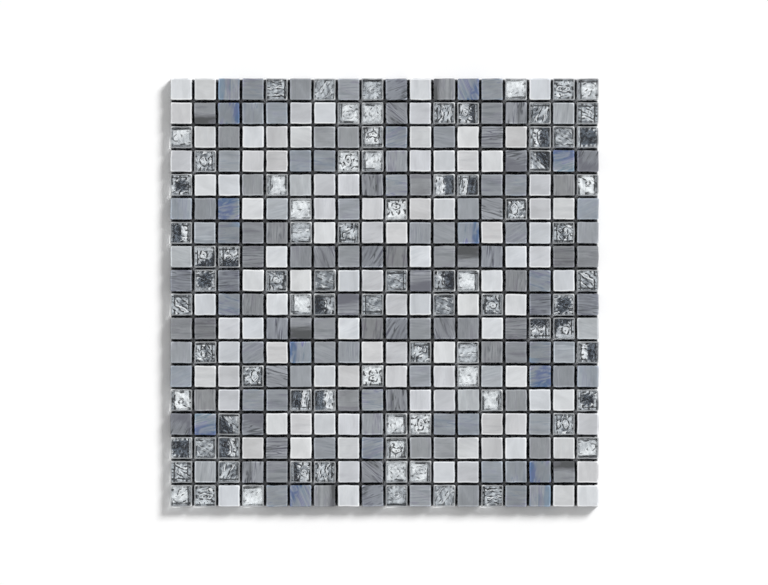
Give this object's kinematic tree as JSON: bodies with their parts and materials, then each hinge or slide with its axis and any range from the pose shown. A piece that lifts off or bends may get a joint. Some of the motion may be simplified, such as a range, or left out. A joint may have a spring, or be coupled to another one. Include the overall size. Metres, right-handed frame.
{
  "type": "glass mosaic tile sheet",
  "caption": "Square sheet of small square glass chips in white, grey, blue-grey and silver foil, laid in an open grid on a net that holds them for bedding as one tile.",
  "frame": {"origin": "middle of the sheet, on the underside of the net, where the sheet beds on its wall or floor", "axes": "+Z out of the chips' faces, +X along the rows of chips, +Y across the rows"},
  "size_m": [0.298, 0.298, 0.0085],
  "materials": {
    "white_glass": "satin",
    "ivory_glass": "satin",
    "pale_grey_glass": "satin",
    "grey_glass": "satin",
    "dark_grey_glass": "satin",
    "blue_grey_glass": "satin",
    "veined_grey_glass": "satin",
    "shaded_grey_glass": "satin",
    "blue_swirl_glass": "satin",
    "clear_glass": "gloss",
    "silver_foil": "satin",
    "creased_foil": "satin",
    "smoked_foil": "satin",
    "net": "matte"
  },
  "bodies": {
    "root": {"white_chips": "white_glass", "ivory_chips": "ivory_glass", "pale_grey_chips": "pale_grey_glass", "grey_chips": "grey_glass", "dark_grey_chips": "dark_grey_glass", "blue_grey_chips": "blue_grey_glass", "veined_grey_chips": "veined_grey_glass", "shaded_grey_chips": "shaded_grey_glass", "blue_swirl_chips": "blue_swirl_glass", "clear_glass_chips": "clear_glass", "silver_foils": "silver_foil", "creased_foils": "creased_foil", "smoked_foils": "smoked_foil", "net_weft_threads": "net", "net_warp_threads": "net"}
  },
  "joints": []
}
